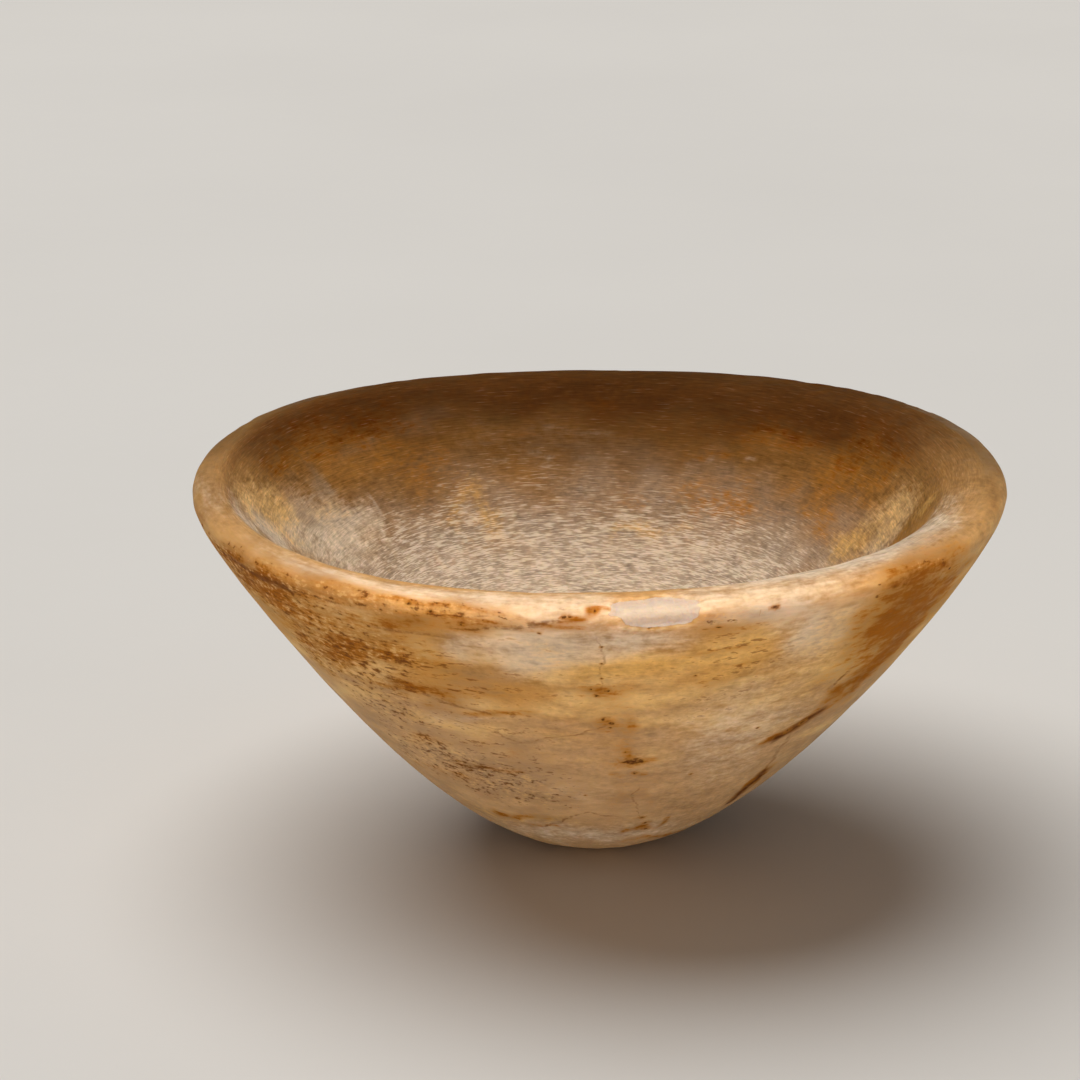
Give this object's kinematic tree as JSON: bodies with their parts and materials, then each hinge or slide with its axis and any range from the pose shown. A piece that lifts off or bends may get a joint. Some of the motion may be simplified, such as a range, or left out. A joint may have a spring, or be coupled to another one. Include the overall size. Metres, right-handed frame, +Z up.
{
  "type": "alabaster cup",
  "caption": "Wide conical drinking cup carved from one piece of alabaster, with a thick rounded lip, an empty hollow and a small flat foot.",
  "frame": {"origin": "centre of the foot's flat underside, on the surface that the cup stands on", "axes": "+Z up out of the mouth; -Y towards the viewer of the picture, the side with the flake scar on the lip; +X to that viewer's right"},
  "size_m": [0.13, 0.1299, 0.0626],
  "materials": {
    "alabaster": "honey-coloured alabaster with iron veins, worn half-dull polish, tool marks inside"
  },
  "bodies": {
    "root": {"cup": "alabaster"}
  },
  "joints": []
}
